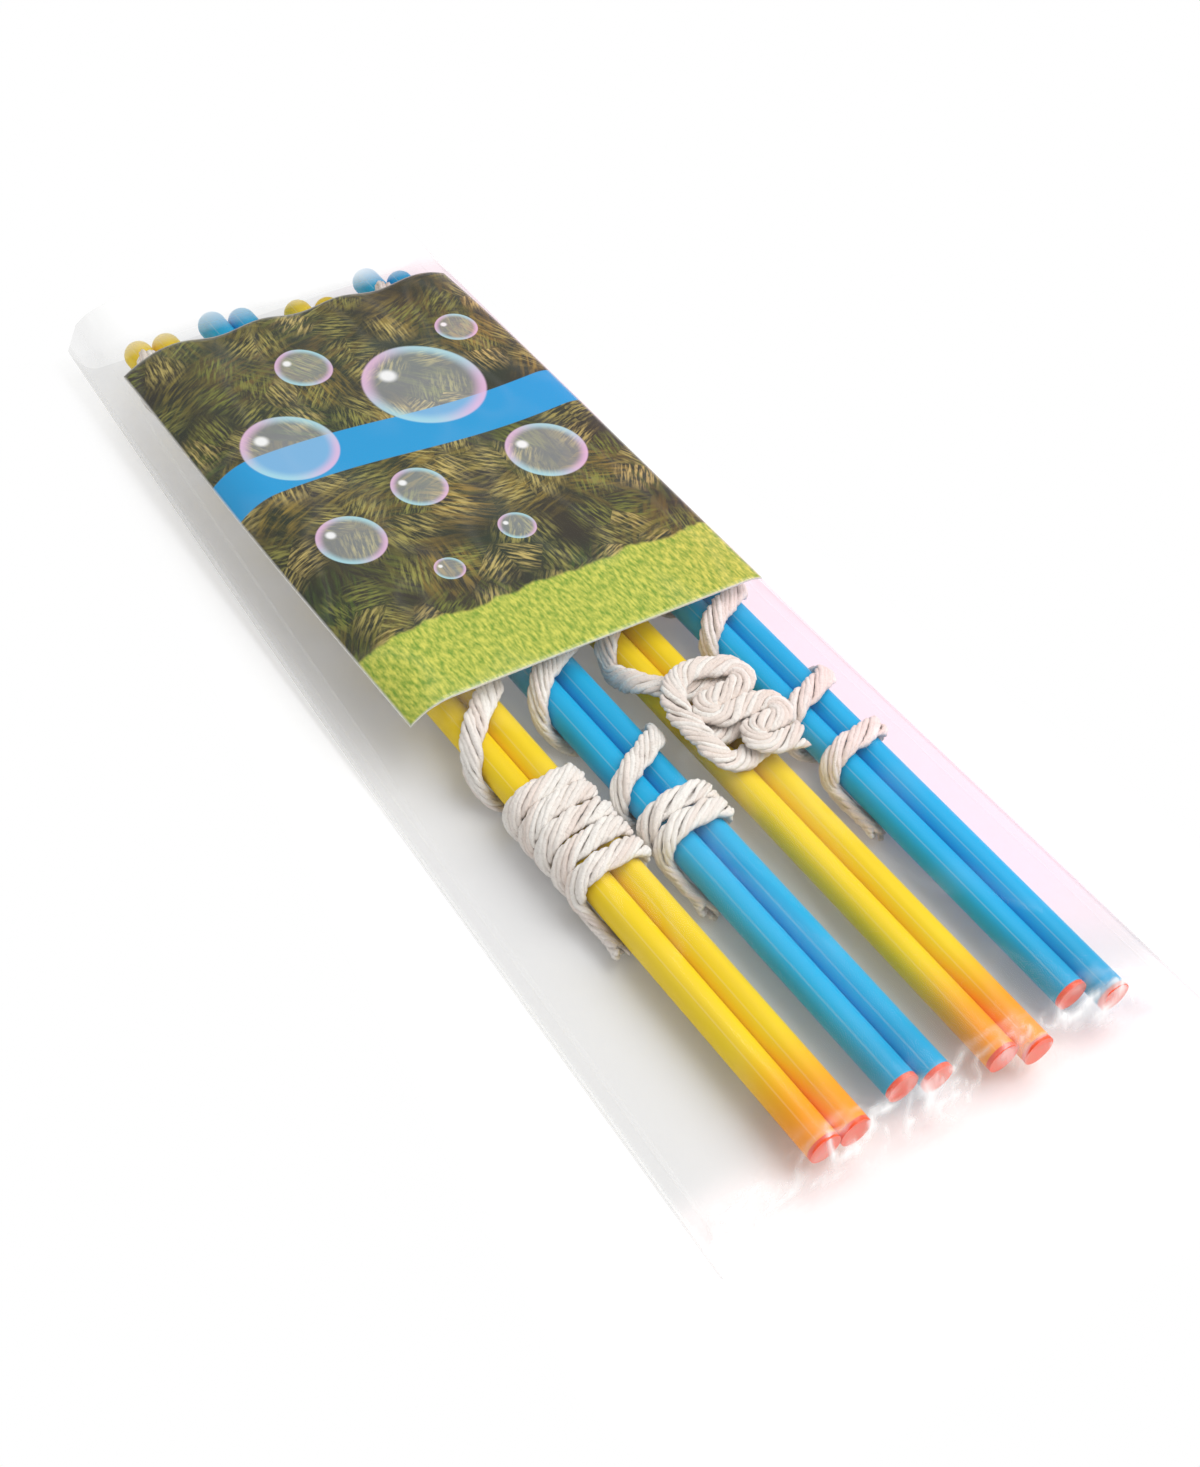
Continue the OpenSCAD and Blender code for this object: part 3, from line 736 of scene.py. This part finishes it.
def print_bubble(n, picture, u, v, x, y, r):
    """A round bubble printed over the picture: a pale body, a tinted rim and a glint."""
    dx = n.math("SUBTRACT", u, float(x))
    dy = n.math("SUBTRACT", v, float(y))
    far = n.length(dx, dy)
    turn = n.math("ARCTAN2", dy, dx)
    rim_tint = n.mix(n.ramp(n.math("SINE", n.math("MULTIPLY", turn, 2.0)), -1.0, 1.0),
                     srgb(236, 190, 226), srgb(176, 226, 236))
    body = n.mix(n.ramp(far, r * 0.98, r, 0.22, 0.0), picture, srgb(240, 246, 250))
    rim = n.math("MULTIPLY", n.ramp(far, r * 0.72, r * 0.97), n.ramp(far, r * 0.97, r * 1.02, 1.0, 0.0))
    body = n.mix(n.math("MULTIPLY", rim, 0.8), body, rim_tint)
    gx = n.math("SUBTRACT", dx, -GLINT_SHARE * r)
    gy = n.math("SUBTRACT", dy, GLINT_SHARE * r)
    glint = n.ramp(n.length(gx, gy), 0.08 * r, 0.2 * r, 0.9, 0.0)
    return n.mix(glint, body, srgb(255, 255, 255))


def paper_material():
    n = Nodes("card_back")
    pulp = n.noise(n.coordinates("Object"), 700.0, 4.0, 0.65)
    colour = n.mix(n.ramp(pulp, 0.3, 0.7), srgb(231, 228, 220), srgb(243, 241, 236))
    return n.finish(n.surface(colour, 0.6, n.bump(pulp, GRAIN_DEPTH, 0.2)))


# Film bag: a back sheet on the table and a front sheet that drapes over the contents

LEFT_NEAR, LEFT_FAR = -70.3 * MM, -54.0 * MM
RIGHT_NEAR, RIGHT_FAR = 70.3 * MM, 64.8 * MM
LEFT_END, RIGHT_END = 156 * MM, 162.5 * MM
# The film's grid, the coarser grids on which it is stretched before, and the sweeps on each
FILM_COLUMNS = 143
FILM_ROWS = 327
FILM_GRIDS = ((41, 18), (82, 36), (164, 72), (FILM_ROWS, FILM_COLUMNS))
FILM_SWEEPS = 400
# Heights: the film over its contents, the back sheet, and the long edges, which rise towards the mouth
FILM_EASE = 0.35 * MM
BACK_Z = 0.15 * MM
EDGE_Z = 0.5 * MM
LEFT_RISE = 8.5 * MM
RIGHT_RISE = 4.5 * MM
RISE_START_SHARE = 0.35
# What the film lies on: a rope's round back, the card's section, and the way that the knot slides out
ROPE_BACK_R = 3 * MM
CARD_SAMPLES = 200
KNOT_WAY_HALF = 9 * MM
# The back sheet curls up to the long edges, and stays a little below the front one
CURL_W = 10 * MM
CURL_GAP = 0.2 * MM
# Random waves of the film in grid steps, across and along, with the sharpness of those that are ridges
CAP_FOLDS = (11, 3, 3.6)
FINE_FOLDS = (4, 2, 2.6)
CREASES = (12, 22, 5)
PATCHES = (14, 10)
# Folds stand up by the handle ends, are milky right over them with painted glare on the folds, and fade at
# the film's own edges
CAP_RISE = 0.6 * MM
CREASE_RISE = 0.2 * MM
FOLD_PLACE = (STICK_START - 3 * MM, 7 * MM)
MILKY_GLARE_PLACE = (STICK_START - 1.5 * MM, 4 * MM)
MILKY_GLARE_LIMIT = 0.92
BEYOND_CARD = 9 * MM
SIDE_FADE = 6 * MM
END_FADE = 4 * MM
# Milky lines, in shares of the film's width: the weld at its edge and a fold line beside it
WELD_SHARE = 0.005
FOLD_LINE_SHARE = 0.03
FOLD_LINE_HALF_SHARE = 0.002
LINE_BLUR_SHARE = 0.001
MIRROR_SHARE = 0.012


def film_plan():
    """Places of the film's grid on the table, and the height of its two long edges."""
    v = np.linspace(0, 1, FILM_ROWS)[:, None]
    u = np.linspace(0, 1, FILM_COLUMNS)[None, :]
    left = LEFT_NEAR + (LEFT_FAR - LEFT_NEAR) * v
    right = RIGHT_NEAR + (RIGHT_FAR - RIGHT_NEAR) * v
    x = left + (right - left) * u
    y = -BAG_LEN / 2 + (BAG_LEN / 2 + LEFT_END + (RIGHT_END - LEFT_END) * u) * v
    lift = np.clip((v[:, 0] - RISE_START_SHARE) / (1 - RISE_START_SHARE), 0, 1) ** 1.5
    return x, y, EDGE_Z + LEFT_RISE * lift, EDGE_Z + RIGHT_RISE * lift


def over_sticks(x, y):
    top = np.zeros_like(x)
    for i, middle in enumerate(WAND_X):
        for side, push in zip((-1, 1), STICK_PUSH[i]):
            off = np.abs(x - middle - side * PAIR_HALF)
            on = (y > STICK_START + push) & (y < STICK_START + push + STICK_LEN) & (off < TUBE_R)
            arch = STICK_Z + np.sqrt(np.maximum(TUBE_R ** 2 - off ** 2, 0))
            top = np.where(on, np.maximum(top, arch), top)
    return top


def over_ropes(x, y, paths):
    top = np.zeros_like(x)
    upper = [place for path in paths for place in path[::2] if place[2] >= STICK_Z]
    for px, py, pz in upper:
        near = (np.abs(x - px) < ROPE_BACK_R) & (np.abs(y - py) < ROPE_BACK_R)
        far2 = (x[near] - px) ** 2 + (y[near] - py) ** 2
        bump = pz + SECTION_B - far2 / (2 * ROPE_BACK_R)
        top[near] = np.maximum(top[near], np.where(far2 < ROPE_BACK_R ** 2, bump, 0))
    return top


def over_card(x, y):
    """The card's top, and the card's height before it, where the knot passes as it slides out."""
    card_x, drop = card_section(np.linspace(0, CARD_W, CARD_SAMPLES))
    card = np.interp(x, card_x, CARD_Z + CARD_T - drop, left=0, right=0)
    on_way = np.abs(x - WAND_X[KNOTTED_WAND]) < KNOT_WAY_HALF
    knot_way = on_way & (y > STICK_START + KNOT_START) & (y < CARD_START)
    return np.where(y > CARD_START, card, np.where(knot_way, CARD_Z, 0))


def contents_height(x, y, paths):
    """The top of what lies in the bag, over a grid of places."""
    return np.maximum(np.maximum(over_sticks(x, y), over_ropes(x, y, paths)), over_card(x, y))


def neighbours(field):
    """The sum of the four places beside each one."""
    padded = np.pad(field, 1, mode="edge")
    return padded[:-2, 1:-1] + padded[2:, 1:-1] + padded[1:-1, :-2] + padded[1:-1, 2:]


def stretched_over(contents, left_z, right_z):
    """A film that is pulled taut over its contents, held at its long edges and its near end."""
    z = np.maximum(contents, EDGE_Z)
    v = np.linspace(0, 1, FILM_ROWS)
    for rows, columns in FILM_GRIDS:
        z = resample(z, rows, columns)
        low = resample(contents, rows, columns)
        left = np.interp(np.linspace(0, 1, rows), v, left_z)
        right = np.interp(np.linspace(0, 1, rows), v, right_z)
        for _ in range(FILM_SWEEPS):
            z = np.maximum(neighbours(z) / 4, low)
            z[:, 0], z[:, -1] = left, right
            z[0, :] = EDGE_Z
    return z


def resample(field, rows, columns):
    """A field of heights at other steps, straight between its own."""
    r = np.linspace(0, field.shape[0] - 1, rows)
    c = np.linspace(0, field.shape[1] - 1, columns)
    r0 = np.minimum(r.astype(int), field.shape[0] - 2)
    c0 = np.minimum(c.astype(int), field.shape[1] - 2)
    fr, fc = (r - r0)[:, None], (c - c0)[None, :]
    a, b = field[np.ix_(r0, c0)], field[np.ix_(r0, c0 + 1)]
    d, e = field[np.ix_(r0 + 1, c0)], field[np.ix_(r0 + 1, c0 + 1)]
    return (a * (1 - fc) + b * fc) * (1 - fr) + (d * (1 - fc) + e * fc) * fr


def smooth_noise(across, along):
    """Random heights from -1 to 1 on the film's grid, with waves of those many steps."""
    knots = (max(4, int(FILM_ROWS / along) + 3), max(4, int(FILM_COLUMNS / across) + 3))
    smooth = resample(rng.uniform(-1, 1, knots), FILM_ROWS, FILM_COLUMNS)
    for _ in range(int(min(across, along) / 2)):
        smooth = (neighbours(smooth) + 2 * smooth) / 6
    return smooth


def ridges(across, along, sharpness):
    """Random ridges from 0 to 1, thinner where they are sharper."""
    return np.clip(1 - np.abs(smooth_noise(across, along)) * sharpness, 0, 1)


def close_to(y, place, reach):
    return np.exp(-((y - place) / reach) ** 2)


def crumples(y):
    """How far the film's folds and creases stand up, its milky share with painted glare on the folds by the
    handle ends, and its creases.
    """
    folds = ridges(*CAP_FOLDS) ** 2 + 0.5 * ridges(*FINE_FOLDS) ** 2
    creases = ridges(*CREASES)
    rise = close_to(y, *FOLD_PLACE) * folds * CAP_RISE + creases * CREASE_RISE
    soft = 0.5 + 0.5 * smooth_noise(*PATCHES)
    beyond_card = np.clip((y - CARD_START - CARD_LEN) / BEYOND_CARD, 0, 1) * (0.45 + 0.4 * soft)
    # painted glare: the folds over the handle ends are drawn milky white, on top of the film's own milkiness
    milky_and_glare = np.maximum(close_to(y, *MILKY_GLARE_PLACE) * (0.06 + 0.75 * folds), beyond_card)
    return rise, np.clip(milky_and_glare, 0, MILKY_GLARE_LIMIT), creases


def curled(away, edge_z):
    """The back sheet's height by a long edge."""
    return (edge_z[:, None] - CURL_GAP) * np.clip(1 - away / CURL_W, 0, 1) ** 2


def add_film_sheet(name, places, faces, white, creases, material):
    sheet = add_mesh(name, np.stack(places, axis=-1).reshape(-1, 3), faces)
    set_float(sheet, "white", white)
    set_float(sheet, "crease", creases)
    u, v = np.meshgrid(np.linspace(0, 1, FILM_COLUMNS), np.linspace(0, 1, FILM_ROWS))
    set_uv(sheet, u, v)
    sheet.data.materials.append(material)
    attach(sheet, "bag")
    return sheet


def add_film(paths, material):
    x, y, left_z, right_z = film_plan()
    from_left, from_right = x - x[:, :1], x[:, -1:] - x
    rise, white, creases = crumples(y)
    from_sides = np.minimum(1, np.minimum(from_left, from_right) / SIDE_FADE)
    inside = from_sides * np.minimum(1, (y + BAG_LEN / 2) / END_FADE)
    z = stretched_over(contents_height(x, y, paths) + FILM_EASE, left_z, right_z) + rise * inside
    faces = grid_faces(FILM_ROWS, FILM_COLUMNS)
    front = add_film_sheet("front_film", [x, y, z], faces, white * inside, creases, material)
    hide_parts("bag_front_film", "bag_left_film", "bag_right_film", "bag_end_film")
    back_z = np.maximum(BACK_Z, np.maximum(curled(from_left, left_z), curled(from_right, right_z)))
    back = add_film_sheet("back_film", [x, y, back_z], faces[:, ::-1], 0 * white, 0 * creases, material)
    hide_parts("bag_back_film")


def film_material():
    """Clear film: light passes through, a little is mirrored, welds look milky, and crumples look milky with
    painted glare and a painted glint on the creases.
    """
    n = Nodes("clear_film")
    u, v, _ = n.parts(n.coordinates("UV"))
    from_edge = n.math("MINIMUM", u, n.math("SUBTRACT", 1.0, u))
    from_line = n.math("ABSOLUTE", n.math("SUBTRACT", from_edge, FOLD_LINE_SHARE))
    blur = LINE_BLUR_SHARE
    edge_weld = n.ramp(from_edge, WELD_SHARE - blur, WELD_SHARE + blur, 0.3, 0.0)
    fold_line = n.ramp(from_line, FOLD_LINE_HALF_SHARE - blur, FOLD_LINE_HALF_SHARE + blur, 0.1, 0.0)
    weld = n.math("MAXIMUM", edge_weld, fold_line)
    # painted glint: creases drawn a little milkier over an even faint haze; the white share carries painted
    # glare on the folds by the handle ends
    haze_and_crease_glint = n.math("ADD", 0.008, n.math("MULTIPLY", n.value("crease"), 0.02))
    milky_and_glare = n.math("MAXIMUM", weld, n.math("ADD", haze_and_crease_glint, n.value("white")), clamp=True)
    pink = n.math("MULTIPLY", n.ramp(u, 0.6, 0.9), n.ramp(v, 0.04, 0.16, 0.15, 1.0))
    plain = n.mix(n.ramp(v, 0.03, 0.07), srgb(255, 253, 253), srgb(247, 247, 247))
    tint = n.mix(pink, plain, srgb(255, 247, 250))
    clear = n.add("ShaderNodeBsdfTransparent")
    n.set(clear.inputs["Color"], tint)
    mirror = n.add("ShaderNodeBsdfGlossy")
    mirror.inputs["Roughness"].default_value = 0.1
    sheet = n.blend(MIRROR_SHARE, clear.outputs[0], mirror.outputs[0])
    pale = n.surface(n.mix(pink, srgb(252, 252, 251), srgb(255, 249, 250)), 0.45)
    return n.finish(n.blend(milky_and_glare, sheet, pale))


# Sticks and plugs keep their CAD shapes and take their materials here

def dress_sticks():
    yellow = tube_material("yellow_plastic", srgb(250, 216, 8), srgb(226, 186, 4), srgb(254, 150, 6), 0.9)
    blue = tube_material("blue_plastic", srgb(6, 178, 230), srgb(2, 150, 204), srgb(30, 140, 184), 0.35)
    orange = plug_material()
    for name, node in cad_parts.items():
        if not name.startswith("wand") or name.endswith("rope"):
            continue
        wand = int(name[len("wand")]) - 1
        colour = orange if "handle" in name else (yellow, blue)[wand % 2]
        node.data.materials.clear()
        node.data.materials.append(colour)


# Floor and light

FLOOR_HALF = 3
FLOOR_DROP = 0.1 * MM
# Round the bag the floor turns plain white, over a reach that gets shorter along the bag
FADE_FROM = -8 * MM
FADE_REACH = 22 * MM
FADE_SLOPE = -0.12
FADE_LEAST = 4 * MM
WORLD_LIGHT = 0.56
WORLD_SEEN = 1.0
KEY_PLACE = (0.5, -0.25, 1.1)
KEY_SIZE = 1.3
KEY_POWER = 15


def bag_distance(n, x, y):
    """How far a place on the floor is from the bag's outline."""
    left = n.math("MULTIPLY_ADD", y, (LEFT_FAR - LEFT_NEAR) / BAG_LEN, (LEFT_FAR + LEFT_NEAR) / 2)
    right = n.math("MULTIPLY_ADD", y, (RIGHT_FAR - RIGHT_NEAR) / BAG_LEN, (RIGHT_FAR + RIGHT_NEAR) / 2)
    left_gap = n.math("SUBTRACT", left, x)
    right_gap = n.math("SUBTRACT", x, right)
    beside = n.math("MAXIMUM", n.math("MAXIMUM", left_gap, right_gap), 0.0)
    beyond = n.math("MAXIMUM", n.math("SUBTRACT", n.math("ABSOLUTE", y), BAG_LEN / 2), 0.0)
    return n.length(beside, beyond)


def floor_material():
    """A pale table near the bag that turns plain white round it, as the eye or a mirror sees it."""
    n = Nodes("floor")
    x, y, _ = n.parts(n.coordinates("Object"))
    reach = n.math("MAXIMUM", n.math("MULTIPLY_ADD", y, FADE_SLOPE, FADE_REACH), FADE_LEAST)
    away = n.ramp(bag_distance(n, x, y), FADE_FROM, reach)
    ray = n.add("ShaderNodeLightPath").outputs
    direct = n.math("MAXIMUM", ray["Is Camera Ray"],
                    n.math("MAXIMUM", ray["Is Glossy Ray"], ray["Is Transmission Ray"]))
    matte = n.surface(srgb(250, 250, 250), 0.9)
    white = n.add("ShaderNodeEmission").outputs[0]
    return n.finish(n.blend(n.math("MULTIPLY", away, direct), matte, white))


def add_floor():
    h = FLOOR_HALF
    floor = add_mesh("floor", [(-h, -h, 0), (h, -h, 0), (h, h, 0), (-h, h, 0)], [(0, 1, 2, 3)], smooth=False)
    floor.data.materials.append(floor_material())
    floor.location.z = -FLOOR_DROP


def add_key_lamp():
    """A square lamp that faces the origin."""
    data = bpy.data.lights.new("key", "AREA")
    data.shape = "SQUARE"
    data.size = KEY_SIZE
    data.energy = KEY_POWER
    lamp = bpy.data.objects.new("key", data)
    bpy.context.scene.collection.objects.link(lamp)
    back = unit(np.array(KEY_PLACE))
    right = unit(np.cross((0, 0, 1), back))
    up = np.cross(back, right)
    lamp.matrix_world = Matrix.Translation(KEY_PLACE) @ Matrix((right, up, back)).transposed().to_4x4()


def add_light():
    world = bpy.data.worlds.new("studio")
    bpy.context.scene.world = world
    world.use_nodes = True
    tree = world.node_tree
    back = tree.nodes["Background"]
    path = tree.nodes.new("ShaderNodeLightPath")
    strength = tree.nodes.new("ShaderNodeMapRange")
    strength.inputs["To Min"].default_value = WORLD_LIGHT
    strength.inputs["To Max"].default_value = WORLD_SEEN
    tree.links.new(path.outputs["Is Camera Ray"], strength.inputs["Value"])
    tree.links.new(strength.outputs["Result"], back.inputs["Strength"])
    back.inputs["Color"].default_value = (1, 1, 1, 1)
    add_key_lamp()


add_camera()
rope_cotton = rope_material()
rope_paths = [add_rope(i, rope_cotton) for i in range(len(WAND_X))]
add_card(card_material(), paper_material())
add_film(rope_paths, film_material())
dress_sticks()
add_floor()
add_light()
bpy.context.scene.view_settings.view_transform = "Standard"
